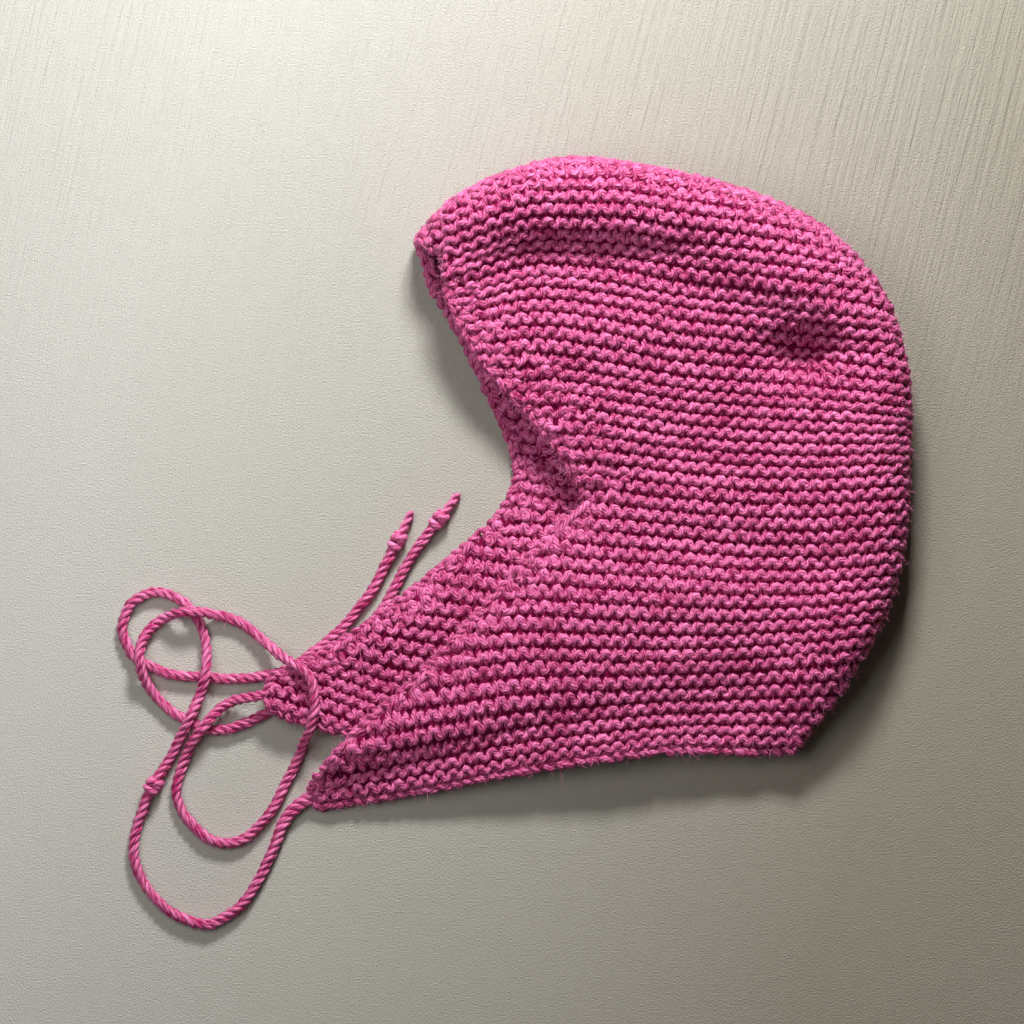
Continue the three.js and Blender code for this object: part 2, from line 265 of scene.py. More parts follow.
@dataclass
class BonnetShape:
    """The bonnet's mid surface: a far layer, a rounded fold and a near layer over it.

    A place runs over the sections, from the forehead corner over the crown and the back of the head
    to the nape corner. Across runs from -1 at the far layer's edge through 0 at the fold to 1 at the
    near layer's edge.
    """

    length: float = 173.6 * MM
    height: float = 173.6 * MM
    puff: float = 23.5 * MM
    roll: float = 13.5 * MM
    wall: float = 3.0 * MM
    roll_part: float = 0.25
    narrow_roll: float = 0.45
    crest_fade: float = 1.1
    lift_reach: float = 0.4
    sections: tuple[tuple[float, ...], ...] = (
        # fold x, y; near edge x, y; far edge x, y; crest; plateau; edge; roll; lift
        (-0.341, 0.364, -0.300, 0.323, -0.331, 0.323, 0.64, 0.64, 0.64, 0.40, 0.22),
        (-0.295, 0.414, -0.300, 0.294, -0.319, 0.286, 0.81, 0.70, 0.62, 0.62, 0.17),
        (-0.218, 0.454, -0.281, 0.247, -0.292, 0.246, 0.94, 0.66, 0.60, 0.82, 0.13),
        (-0.101, 0.482, -0.252, 0.187, -0.264, 0.190, 1.00, 0.62, 0.55, 0.97, 0.08),
        (0.031, 0.465, -0.205, 0.131, -0.238, 0.140, 1.00, 0.62, 0.51, 1.00, 0.04),
        (0.187, 0.423, -0.146, 0.065, -0.213, 0.086, 0.98, 0.62, 0.48, 1.00, 0.02),
        (0.311, 0.353, -0.100, -0.005, -0.193, 0.037, 0.94, 0.62, 0.43, 0.97, 0.00),
        (0.392, 0.236, -0.078, -0.051, -0.185, -0.009, 0.89, 0.60, 0.34, 0.93, 0.00),
        (0.417, 0.109, -0.124, -0.093, -0.210, -0.067, 0.85, 0.57, 0.32, 0.89, 0.00),
        (0.415, -0.016, -0.218, -0.198, -0.288, -0.140, 0.81, 0.55, 0.32, 0.85, 0.04),
        (0.407, -0.121, -0.334, -0.320, -0.404, -0.233, 0.77, 0.53, 0.38, 0.82, 0.15),
        (0.386, -0.205, -0.454, -0.428, -0.510, -0.300, 0.72, 0.51, 0.38, 0.78, 0.18),
        (0.364, -0.252, -0.507, -0.498, -0.573, -0.333, 0.70, 0.49, 0.10, 0.74, 0.18),
        (0.351, -0.277, -0.504, -0.518, -0.571, -0.361, 0.68, 0.47, 0.07, 0.70, 0.18),
        (0.330, -0.314, -0.373, -0.498, -0.432, -0.406, 0.64, 0.46, 0.15, 0.67, 0.11),
        (0.303, -0.355, -0.156, -0.456, -0.187, -0.423, 0.60, 0.45, 0.30, 0.63, 0.01),
        (0.272, -0.392, 0.062, -0.429, 0.047, -0.420, 0.55, 0.45, 0.41, 0.52, 0.00),
        (0.247, -0.426, 0.205, -0.432, 0.202, -0.420, 0.51, 0.47, 0.45, 0.30, 0.00),
    )
    relief: tuple[tuple[float, ...], ...] = (
        # centre x, y; half length, half width; turn in degrees; rise as a share of the puff
        (0.257, 0.184, 0.065, 0.047, 0, -0.26),
        (0.249, 0.283, 0.093, 0.028, -15, 0.06),
        (-0.047, 0.342, 0.187, 0.031, 0, -0.11),
        (-0.180, 0.429, 0.093, 0.019, 27, 0.05),
        (0.0, 0.218, 0.233, 0.05, 0, 0.06),
        (0.187, -0.14, 0.187, 0.044, -10, -0.07),
        (0.0, -0.202, 0.249, 0.047, 5, 0.05),
        (0.32, 0.269, 0.072, 0.014, -21, -0.05),
    )

    def __post_init__(self) -> None:
        """Turns the sections' shares into metres."""
        scales = [self.length, self.height] * 3 + [self.puff] * 3 + [self.roll, self.puff]
        self.table = np.array(self.sections) * np.array(scales)
        self.table[:, 8] = np.maximum(self.table[:, 8], self.wall / 2)

    @property
    def last(self) -> int:
        """The last whole place."""
        return len(self.table) - 1

    def bumps(self, table: tuple[tuple[float, ...], ...], x: Array, y: Array) -> Array:
        """Sum of a table's dents and swellings, each rise times exp(-along squared - across squared).

        Args:
            table: Rows of centre x, y, half length, half width, turn in degrees and rise. The first
                four are shares of the bonnet's length (x) and height (y).
            x: Plan places.
            y: Plan places.

        Returns:
            The sum at each place, in the rise's unit.
        """
        total = np.zeros_like(x)
        for centre_x, centre_y, along, across, turn, rise in table:
            angle = math.radians(turn)
            dx = x - centre_x * self.length
            dy = y - centre_y * self.height
            u = (dx * math.cos(angle) + dy * math.sin(angle)) / (along * self.length)
            v = (dy * math.cos(angle) - dx * math.sin(angle)) / (across * self.height)
            total += rise * np.exp(-u * u - v * v)
        return total

    def middle(self, place: Array, across: Array) -> tuple[Array, Array]:
        """Points of the mid surface.

        In plan a section is the straight line from the fold to the layer's edge. Up to roll_part it
        is a quarter ellipse, depth roll (1 - cos turn) and height along sin turn. Beyond it the far
        layer lies flat but for its raised edge, and the near layer falls from the crest to the
        plateau by exp(-distance squared) and goes to its edge with the square of its share.

        Args:
            place: Places over the sections.
            across: Places across, of one sign.

        Returns:
            The points and the unit direction in plan from the edge out to the fold.
        """
        row = hermite(self.table, place)
        fold = row[..., 0:2]
        is_near = across >= 0
        edge = np.where(is_near[..., None], row[..., 2:4], row[..., 4:6])
        crest, plateau, rim, roll, lift = (row[..., k] for k in range(6, 11))
        inward = edge - fold
        width = np.linalg.norm(inward, axis=-1)
        roll = np.minimum(roll, self.narrow_roll * width)
        part = np.abs(across)
        turn = np.clip(part / self.roll_part, 0, 1) * math.pi / 2
        flat = roll + (width - roll) * (part - self.roll_part) / (1 - self.roll_part)
        depth = np.where(part < self.roll_part, roll * (1 - np.cos(turn)), flat)
        share = depth / width
        plan = fold + inward * share[..., None]
        beyond = np.maximum(depth - roll, 0) / (self.crest_fade * self.roll)
        top = plateau + (crest - plateau) * np.exp(-beyond * beyond) + (rim - plateau) * share**2
        base = self.wall / 2
        rise = lift * (1 - smoothstep((1 - share) / self.lift_reach))
        fold_height = (crest + base + rise) / 2
        end = np.where(is_near, top, base + rise)
        relief = self.puff * self.bumps(self.relief, plan[..., 0], plan[..., 1])
        bump = np.where(is_near, relief, 0.0)
        height = fold_height + (end - fold_height) * np.sin(turn) + bump * np.sin(turn) ** 2
        points = np.concatenate([plan, height[..., None]], axis=-1)
        return points, -unit(inward)


class Side(Enum):
    """The two layers of the bonnet, with the sign of their across."""

    NEAR = 1
    FAR = -1


@dataclass
class Layer:
    """One layer on a regular grid, with the flat plan that its knitting is laid out in.

    The flat plan is the layer's own plan, but for the roll, which is unrolled outwards by its arc
    length, so that rows keep their spacing round the fold. The middle of the fabric lies inside
    the fold's outline, because the yarn stands out of it. The near layer has softer dents too.
    """

    shape: BonnetShape
    side: Side
    per_section: int = 12
    steps: int = 96
    inside: float = 1.2 * MM
    dents: tuple[tuple[float, ...], ...] = (
        # centre x, y; half length, half width; turn in degrees; rise in metres
        (0.225, -0.430, 0.170, 0.105, -4, -4.9 * MM),
        (0.262, 0.180, 0.045, 0.022, 8, -2.6 * MM),
        (0.222, 0.232, 0.050, 0.012, 6, 1.0 * MM),
        (-0.135, 0.012, 0.018, 0.070, 38, -2.6 * MM),
        (0.345, 0.150, 0.030, 0.060, -20, -1.4 * MM),
    )

    def __post_init__(self) -> None:
        """Works out the grid of points, normals and flat places."""
        count = self.shape.last * self.per_section + 1
        place = np.linspace(0, self.shape.last, count)
        across = np.linspace(0, 1, self.steps + 1) * self.side.value
        across[0] = 1e-9 * self.side.value
        grid_place, grid_across = np.meshgrid(place, across, indexing="ij")
        self.points, out = self.shape.middle(grid_place, grid_across)
        part = np.abs(grid_across)
        near_fold = np.clip(1 - part / self.shape.roll_part, 0, 1) ** 2
        self.points[..., :2] -= out * (self.inside * near_fold)[..., None]
        if self.side is Side.NEAR:
            plan_x, plan_y = self.points[..., 0], self.points[..., 1]
            fade = smoothstep(part / self.shape.roll_part)
            self.points[..., 2] += self.shape.bumps(self.dents, plan_x, plan_y) * fade
        along = np.gradient(self.points, axis=0)
        over = np.gradient(self.points, axis=1) * self.side.value
        self.normals = unit(np.cross(over, along))
        start = int(round(self.shape.roll_part * self.steps))
        steps = np.linalg.norm(np.diff(self.points[:, : start + 1], axis=1), axis=-1)
        arc = np.concatenate([np.cumsum(steps[:, ::-1], axis=1)[:, ::-1], np.zeros((count, 1))], 1)
        flat = self.points[..., :2].copy()
        flat[:, : start + 1] = flat[:, start : start + 1] + out[:, : start + 1] * arc[..., None]
        self.flat = flat
        self.width = np.linalg.norm(self.points[:, 0, :2] - self.points[:, -1, :2], axis=-1)
        self.fade = np.clip(1 - np.arange(self.steps + 1) / start, 0, 1) ** 2

    def meet(self, other: Layer) -> None:
        """Moves both layers' flat plans so that they agree along the fold."""
        shift = (other.flat[:, :1] - self.flat[:, :1]) / 2
        self.flat = self.flat + shift * self.fade[None, :, None]
        other.flat = other.flat - shift * other.fade[None, :, None]

    def locate(self, targets: Array, rounds: int = 12) -> tuple[Array, Array]:
        """Grid places of points in the flat plan, by Newton's steps from the nearest node.

        Args:
            targets: Flat places, shape (n, 2).
            rounds: How many steps.

        Returns:
            Grid places (n, 2), held in the grid, and how far each lands from its target.
        """
        stride, batch = 4, 4096
        coarse = self.flat[::stride, ::stride]
        nodes = coarse.reshape(-1, 2)
        start = np.empty(targets.shape)
        squares = (nodes**2).sum(axis=1)
        for low in range(0, len(targets), batch):
            part = targets[low : low + batch]
            distance = (part**2).sum(axis=1)[:, None] - 2 * part @ nodes.T + squares
            nearest = np.divmod(distance.argmin(axis=1), coarse.shape[1])
            start[low : low + batch] = np.stack(nearest, axis=-1) * stride
        slope_a = np.gradient(self.flat, axis=0)
        slope_b = np.gradient(self.flat, axis=1)
        top = np.array(self.flat.shape[:2]) - 1.0
        place = start
        for _ in range(rounds):
            error = targets - bilinear(self.flat, place)
            a = bilinear(slope_a, place)
            b = bilinear(slope_b, place)
            det = a[:, 0] * b[:, 1] - a[:, 1] * b[:, 0]
            det = np.where(np.abs(det) < 1e-12, 1e-12, det)
            step_a = (error[:, 0] * b[:, 1] - error[:, 1] * b[:, 0]) / det
            step_b = (a[:, 0] * error[:, 1] - a[:, 1] * error[:, 0]) / det
            step = np.stack([step_a, step_b], axis=-1)
            place = np.clip(place + np.clip(step, -6, 6), 0, top)
        miss = np.linalg.norm(targets - bilinear(self.flat, place), axis=-1)
        return place, miss

    def at(self, place: Array) -> tuple[Array, Array]:
        """Points and unit normals at grid places."""
        return bilinear(self.points, place), unit(bilinear(self.normals, place))


@dataclass
class RowPlan:
    """Where the rows of garter stitch run in a layer's flat plan.

    Guides are chosen ridges, each with its number and its height at the stations along x. All are
    shares of the bonnet's length and height. Ridges between them are interpolated.
    """

    shape: BonnetShape
    stations: tuple[float, ...]
    ridge: tuple[float, ...]
    guides: tuple[tuple[float, ...], ...]
    x_fine: int = 600
    ridge_fine: int = 400

    def __post_init__(self) -> None:
        """Fills a fine table of row heights by Hermite curves, along x and then over the ridges."""
        stations = np.array(self.stations) * self.shape.length
        self.x = np.linspace(stations[0], stations[-1], self.x_fine)
        guides = np.array(self.guides).T * self.shape.height
        along = hermite(guides, np.interp(self.x, stations, np.arange(len(stations))))
        self.number = np.linspace(self.ridge[0], self.ridge[-1], self.ridge_fine)
        place = np.interp(self.number, self.ridge, np.arange(len(self.ridge)))
        self.heights = hermite(np.ascontiguousarray(along.T), place).T

    def height_at(self, x: Array, ridge: Array) -> Array:
        """Flat y of a ridge number at x."""
        a = (x - self.x[0]) / (self.x[1] - self.x[0])
        b = (ridge - self.number[0]) / (self.number[1] - self.number[0])
        return bilinear(self.heights, np.stack([a, b], axis=-1))


@dataclass
class Garter:
    """The garter stitch: what one stitch's yarn does, and the rows laid on both layers.

    Over a stitch the phase t goes once round. The yarn is at
    x = stitch t / 2 pi + bulb sin 2t + lean cos t, y = row - arc cos t, where arc is
    reach times the row spacing less short, held near the spacing, so that ridges nearly touch, and
    z = plus or minus depth tanh(snap cos t) / tanh(snap), with the sign changing from row to row.
    The yarn is full where cos t is 1 or -1 and slack times thinner between. The lean goes from its
    upper to its lower value towards the neck, and each row starts shift of a stitch further on.
    Near the face's edge, in a band, the stitches wander more. The tone is each stitch's random tone
    plus painted shade: the legs between the arcs, which lie deeper in the fabric, are darker.
    """

    shape: BonnetShape
    near: Layer
    far: Layer
    near_plan: RowPlan
    far_plan: RowPlan
    stitch: float = 3.70 * MM
    shift: float = -0.065
    bulb: float = 0.24 * MM
    lean_top: float = 0.0 * MM
    lean_low: float = 0.03 * MM
    reach: float = 1.5
    short: float = 0.92 * MM
    depth: float = 0.92 * MM
    snap: float = 1.1
    slack: float = 0.10
    yarn: float = 0.96 * MM
    samples: float = 9.5
    sides: int = 6
    rows: int = 98
    outside: float = 1.2 * MM
    wander: float = 0.12 * MM
    band: float = 13.0 * MM
    band_wander: float = 0.36 * MM
    painted_leg_shade: float = 0.9
    least_gap: float = 0.05 * MM
    yarn_on: float = 13.0 * MM
    pattern: int = 211

    def __post_init__(self) -> None:
        """Seeds the small irregularities of hand knitting."""
        self.random = np.random.default_rng(SEED)

    def stretch(self, layer: Layer, plan: RowPlan, row: int) -> tuple[Array, Array] | None:
        """Where a row runs on a layer.

        Args:
            layer: The layer.
            plan: Its rows.
            row: The row's number.

        Returns:
            The x of its first and last point in the flat plan, or None if it misses the layer.
        """
        x = np.arange(plan.x[0], plan.x[-1], 0.3 * MM)
        ridge = np.full_like(x, row / 2)
        y = plan.height_at(x, ridge)
        _, miss = layer.locate(np.stack([x, y], axis=-1))
        inside = miss < self.outside
        if inside.sum() < 8:
            return None
        edges = np.flatnonzero(np.diff(np.concatenate([[0], inside.astype(int), [0]])))
        runs = edges.reshape(-1, 2)
        first, last = runs[np.argmax(runs[:, 1] - runs[:, 0])]
        return x[first], x[last - 1]

    def row_on(
        self, layer: Layer, plan: RowPlan, row: int, low: float, high: float
    ) -> tuple[Array, Array, Array, Array]:
        """One row's yarn on a layer.

        Args:
            layer: The layer.
            plan: Its rows.
            row: The row's number.
            low: The least x in the flat plan.
            high: The greatest x.

        Returns:
            The yarn's points, the layer's normals there, the tones and the swelling.
        """
        count = max(int(round((high - low) / self.stitch * self.samples)), 6)
        base = np.linspace(low, high, count)
        turns = base / self.stitch + self.shift * row
        phase = turns * TURN
        number = np.floor(turns).astype(int) % self.jitter.shape[1]
        ridge = np.full_like(base, row / 2)
        here = plan.height_at(base, ridge)
        spacing = plan.height_at(base, ridge + 0.25) - plan.height_at(base, ridge - 0.25)
        loose = self.band_weight(layer, base, here)
        wander = self.wander + self.band_wander * loose
        jitter_x, jitter_y, jitter_z = (self.jitter[row][:, k][number] for k in range(3))
        low_share = smoothstep((0.06 * self.shape.height - here) / (0.30 * self.shape.height))
        lean = self.lean_top + (self.lean_low - self.lean_top) * low_share
        x = base + self.bulb * np.sin(2 * phase) + lean * np.cos(phase) + jitter_x * wander
        step = np.abs(spacing)
        arc = np.clip(self.reach * step - self.short, 0.68 * step, 1.02 * step)
        y = here - np.sign(-spacing) * arc * np.cos(phase) * (1 + 0.08 * jitter_y)
        y = y + jitter_y * wander
        place, _ = layer.locate(np.stack([x, y], axis=-1), rounds=10)
        points, normals = layer.at(place)
        turn = 1.0 if row % 2 == 0 else -1.0
        crest = np.tanh(self.snap * np.cos(phase)) / math.tanh(self.snap)
        lift = turn * self.depth * crest * (1 + 0.10 * jitter_z) + jitter_z * wander * 0.6
        full = np.cos(phase) ** 2
        swell = (1 + 0.10 * loose) * (1 - self.slack * (1 - full)) - 1
        # Painted shade: the legs, which lie deeper in the fabric than the arcs, get a darker tone.
        tone = self.tones[row, number] + self.painted_leg_shade * (full - 0.5)
        return points + normals * lift[:, None], normals, tone, swell

    def band_weight(self, layer: Layer, x: Array, y: Array) -> Array:
        """How loose the knitting is at flat places: 1 at the open edge, 0 a band's width away."""
        place, _ = layer.locate(np.stack([x, y], axis=-1), rounds=6)
        width = bilinear(layer.width[:, None, None], place * np.array([1.0, 0.0]))[:, 0]
        away = (1 - place[:, 1] / layer.steps) * width
        face = 1 - smoothstep((place[:, 0] / layer.per_section - 11.0) / 1.5)
        return (1 - smoothstep((away / self.band - 0.55) / 0.45)) * face

    def row_strand(self, row: int) -> Strand | None:
        """A whole row: over the near layer to the fold and back over the far layer."""
        near = self.stretch(self.near, self.near_plan, row)
        far = self.stretch(self.far, self.far_plan, row)
        pieces = []
        if near:
            pieces.append(self.row_on(self.near, self.near_plan, row, *near))
        if far:
            high = near[1] if near else far[1]
            far_row = self.row_on(self.far, self.far_plan, row, far[0], high)
            pieces.append(tuple(value[::-1] for value in far_row))
        if not pieces:
            return None
        joined = [np.concatenate(values) for values in zip(*pieces)]
        gaps = np.linalg.norm(np.diff(joined[0], axis=0), axis=1)
        keep = np.concatenate([[True], gaps > self.least_gap])
        points, normals, tone, swell = (values[keep] for values in joined)
        radius = self.yarn * (1 + swell)
        points[:, 2] = np.maximum(points[:, 2], radius)
        return Strand(points, normals, radius, tone)

    def build(self, names: tuple[str, ...], material: bpy.types.Material) -> list:
        """Knits all the rows, in as many pieces as there are names.

        Args:
            names: Names of the bands of rows, from the crown down.
            material: The yarn's material.

        Returns:
            The pieces.
        """
        count = self.rows + 1
        self.jitter = np.clip(self.random.normal(0, 1, (count, self.pattern, 3)), -2.2, 2.2)
        self.tones = np.clip(self.random.normal(0, 0.5, (count, self.pattern)), -1.2, 1.2)
        self.tones += self.random.normal(0, 0.15, (count, 1))
        strands = [self.row_strand(row) for row in range(count)]
        weights = np.array([0 if strand is None else len(strand.points) for strand in strands])
        limits = np.interp(
            np.arange(1, len(names)) / len(names),
            np.cumsum(weights) / weights.sum(),
            np.arange(len(strands)),
        ).astype(int)
        pieces = []
        for name, rows in zip(names, np.split(np.arange(len(strands)), limits)):
            parts = MeshParts()
            for row in rows:
                strand = strands[row]
                if strand is not None:
                    sweep(parts, strand, self.sides, u_start=self.yarn_on * row)
            pieces.append(parts.make(name, material))
        return pieces


@dataclass
class ShadeSheet:
    """A thin closed dark sheet in the middle of the fabric: painted shade, standing for the deep
    shadow seen through the gaps between the loops.
    """

    near: Layer
    far: Layer
    half: float = 0.45 * MM
    stride: int = 3

    def build(self, name: str, material: bpy.types.Material) -> bpy.types.Object:
        """Joins both layers' grids at the fold and gives them a small thickness.

        Args:
            name: The piece's name.
            material: Its material.

        Returns:
            The piece.
        """
        points, normals = (
            np.concatenate([far[:, :0:-1], near], axis=1)[:: self.stride, :: self.stride]
            for far, near in (
                (self.far.points, self.near.points),
                (self.far.normals, self.near.normals),
            )
        )
        outer = (points + normals * self.half).reshape(-1, 3)
        inner = (points - normals * self.half).reshape(-1, 3)
        below = len(outer)
        index = np.arange(below).reshape(points.shape[:2])
        front = cell_corners(index).reshape(-1, 4)
        back = front[:, ::-1] + below
        rim_path = np.concatenate(
            [index[0, :-1], index[:-1, -1], index[-1, :0:-1], index[:0:-1, 0]]
        )
        following = np.roll(rim_path, -1)
        rim = np.stack([following, rim_path, rim_path + below, following + below], axis=-1)
        quads = np.concatenate([front, back, rim])
        parts = MeshParts()
        every = np.concatenate([outer, inner])
        parts.add(every, quads, np.zeros((quads.size, 2)), np.zeros(len(every)))
        return parts.make(name, material)


@dataclass
class Selvage:
    """The loops along the bonnet's open edge, where the rows turn, one loop to a ridge."""

    near: Layer
    far: Layer
    loop: float = 3.7 * MM
    bow: float = 0.55 * MM
    rise: float = 0.70 * MM
    yarn: float = 0.80 * MM
    inset: float = 1.10 * MM
    steps_per_loop: int = 12
    smoothing: int = 13
    late: float = 2.0
    uneven: float = 0.45

    def edge(self) -> tuple[Array, Array]:
        """The open edge and the fabric's normals along it, closed."""
        runs = (
            (self.near, np.s_[:, -1]),
            (self.near, np.s_[-1, -2::-1]),
            (self.far, np.s_[-1, 1:]),
            (self.far, np.s_[-2::-1, -1]),
            (self.far, np.s_[0, -2::-1]),
            (self.near, np.s_[0, 1:-1]),
            (self.near, np.s_[0:1, -1]),
        )
        points = np.concatenate([layer.points[place] for layer, place in runs])
        normals = np.concatenate([layer.normals[place] for layer, place in runs])
        return points, normals

    def build(self, name: str, material: bpy.types.Material) -> bpy.types.Object:
        """Winds two uneven strands round the open edge.

        A strand is at the edge + bow cos t - inset outwards and rise sin t across the fabric, where
        t goes once round for each loop, and every loop has its own size and lateness.

        Args:
            name: The piece's name.
            material: The yarn's material.

        Returns:
            The piece.
        """
        closed, normal = self.edge()
        along = lengths_along(closed)
        loops = int(round(along[-1] / self.loop))
        steps = loops * self.steps_per_loop
        where = np.linspace(0, along[-1], steps)
        kernel = np.ones(self.smoothing) / self.smoothing
        path = resample(where, along, closed)
        padded = np.pad(path, ((self.smoothing // 2,) * 2, (0, 0)), mode="wrap")
        path = np.stack([np.convolve(line, kernel, "valid") for line in padded.T], axis=-1)
        up = unit(resample(where, along, normal))
        outward = unit(np.cross(up, unit(np.gradient(path, axis=0))))
        random = np.random.default_rng(SEED + 1)
        parts = MeshParts()
        knots = np.linspace(0, steps - 1, loops)
        for offset in (0.0, math.pi):
            late, size, tone, swell = (
                np.interp(np.arange(steps), knots, random.normal(0, 1, loops)) for _ in range(4)
            )
            phase = np.linspace(0, TURN * loops, steps) + offset + self.late * late
            bow = self.bow * (1 + self.uneven * size)
            points = (
                path
                + outward * (bow * np.cos(phase) - self.inset)[:, None]
                + up * (self.rise * np.sin(phase))[:, None]
            )
            radius = self.yarn * (1 + 0.10 * swell)
            points[:, 2] = np.maximum(points[:, 2], radius)
            sweep(parts, Strand(points, up, radius, 0.5 * tone), 6, u_start=offset)
        return parts.make(name, material)


@dataclass
class TieCord:
    """A twisted tie cord along its route, of three strands of yarn.

    Route points are x and y in metres and the rise of the centreline over a lying cord, in cord
    diameters. The curve through them is a centripetal Catmull-Rom spline.
    """

    name: str
    node: str
    route: tuple[tuple[float, float, float], ...]
    diameter: float = 3.0 * MM
    lie: float = 0.53
    strands: int = 3
    strand_radius: float = 0.74 * MM
    strand_offset: float = 0.80 * MM
    pitch: float = 7.0 * MM
    thick_start: float = 0.0
    thick_reach: float = 22.0 * MM
    step: float = 0.55 * MM
    sides: int = 8

    def points(self) -> Array:
        """The route's points in metres."""
        table = np.array(self.route)
        height = self.diameter * (self.lie + table[:, 2])
        return np.column_stack([table[:, :2] * MM, height])

    def centreline(self) -> Array:
        """The spline, in steps of equal length.

        Between two points it is the cubic whose end slopes come from the neighbours, with knot
        distances that are the square roots of the chord lengths.
        """
        points = self.points()
        ends = np.concatenate([[2 * points[0] - points[1]], points, [2 * points[-1] - points[-2]]])
        before, first, second, after = ends[:-3], ends[1:-2], ends[2:-1], ends[3:]
        gap0 = np.sqrt(np.linalg.norm(first - before, axis=1))[:, None]
        gap1 = np.sqrt(np.linalg.norm(second - first, axis=1))[:, None]
        gap2 = np.sqrt(np.linalg.norm(after - second, axis=1))[:, None]
        chord = (second - first) / gap1
        slope1 = (first - before) / gap0 - (second - before) / (gap0 + gap1) + chord
        slope2 = chord - (after - first) / (gap1 + gap2) + (after - second) / gap2
        slope1, slope2 = slope1 * gap1, slope2 * gap1
        u = np.linspace(0, 1, 24, endpoint=False)[None, :, None]
        curve = (
            (2 * u**3 - 3 * u**2 + 1) * first[:, None]
            + (u**3 - 2 * u**2 + u) * slope1[:, None]
            + (-2 * u**3 + 3 * u**2) * second[:, None]
            + (u**3 - u**2) * slope2[:, None]
        ).reshape(-1, 3)
        curve = np.concatenate([curve, points[-1:]])
        along = lengths_along(curve)
        where = np.linspace(0, along[-1], int(along[-1] / self.step))
        return resample(where, along, curve)

    def build(self, line: Array, material: bpy.types.Material) -> bpy.types.Object:
        """Twists the strands round the centreline.

        Args:
            line: The centreline's points.
            material: The yarn's material.

        Returns:
            The piece.
        """
        tangent = unit(np.gradient(line, axis=0))
        up = np.tile([0.0, 0.0, 1.0], (len(line), 1))
        side = unit(np.cross(tangent, up))
        up = np.cross(side, tangent)
        length = lengths_along(line)[-1]
        along = np.linspace(0, length, len(line))
        random = np.random.default_rng(SEED + len(self.route))
        parts = MeshParts()
        for strand in range(self.strands):
            angle = TURN * (along / self.pitch + strand / self.strands)
            swell = 1 + 0.05 * np.interp(along, np.linspace(0, length, 60), random.normal(0, 1, 60))
            swell = swell * (1 + self.thick_start * (1 - smoothstep(along / self.thick_reach)))
            outward = np.cos(angle)[:, None] * up + np.sin(angle)[:, None] * side
            points = line + (self.strand_offset * swell)[:, None] * outward
            tone = np.interp(along, np.linspace(0, length, 90), random.normal(0, 0.5, 90))
            radius = np.full(len(line), self.strand_radius) * swell
            sweep(parts, Strand(points, outward, radius, tone), self.sides, u_start=strand * 0.1)
        return parts.make(self.name, material)


@dataclass
class Knot:
    """A knot: yarn wound three times round the cord's axis, with its tail of two strands."""

    node: str
    centre: Array
    direction: Array
    radius: float
    length: float
    tail: float = 0.0
    yarn: float = 0.95 * MM
    tail_yarn: float = 0.72 * MM
    tail_spread: float = 0.55 * MM
    tail_lie: float = 1.45 * MM
    tail_pitch: float = 5.5 * MM
    steps: int = 150

    def build(self, material: bpy.types.Material) -> bpy.types.Object:
        """Winds the yarn round the axis and, where there is a tail, lays two strands beyond it.

        The winding is along the axis by sin(t / 3 + 0.6) times nearly half the length, and round it
        by t, at the knot's radius less the yarn's, a little nearer where cos(2t / 3) is low.

        Args:
            material: The yarn's material.

        Returns:
            The piece.
        """
        axis = unit(self.direction)
        side = unit(np.cross(axis, [0.0, 0.0, 1.0]))
        up = np.cross(side, axis)
        parts = MeshParts()
        turn = np.linspace(0, 6 * math.pi, self.steps)
        wave = np.sin(turn / 3 + 0.6)
        ring = (self.radius - self.yarn) * (0.86 + 0.14 * np.cos(turn * 2 / 3))
        along = wave * (self.length / 2 - self.yarn * 0.7)
        outward = np.cos(turn)[:, None] * up + np.sin(turn)[:, None] * side
        points = self.centre + along[:, None] * axis + ring[:, None] * outward
        radius = np.full(self.steps, self.yarn)
        sweep(parts, Strand(points, outward, radius, np.full(self.steps, 0.3)), 8)
        if self.tail:
            count = 40
            reach = np.linspace(self.length * 0.2, self.length * 0.5 + self.tail, count)
            for offset in (0.0, math.pi):
                angle = reach / self.tail_pitch * TURN + offset
                opening = smoothstep((reach - reach[-10]) / self.tail * 2)
                spread = self.tail_spread * (1 + 0.5 * opening)
                outward = np.cos(angle)[:, None] * up + np.sin(angle)[:, None] * side
                points = self.centre + reach[:, None] * axis + spread[:, None] * outward
                fall = smoothstep((reach - self.length * 0.4) / self.tail)
                points[:, 2] -= (self.radius - self.tail_lie) * fall
                radius = np.full(count, self.tail_yarn)
                sweep(parts, Strand(points, outward, radius, np.full(count, 0.5)), 7, u_start=0.3)
        return parts.make(self.node + "_yarn", material)


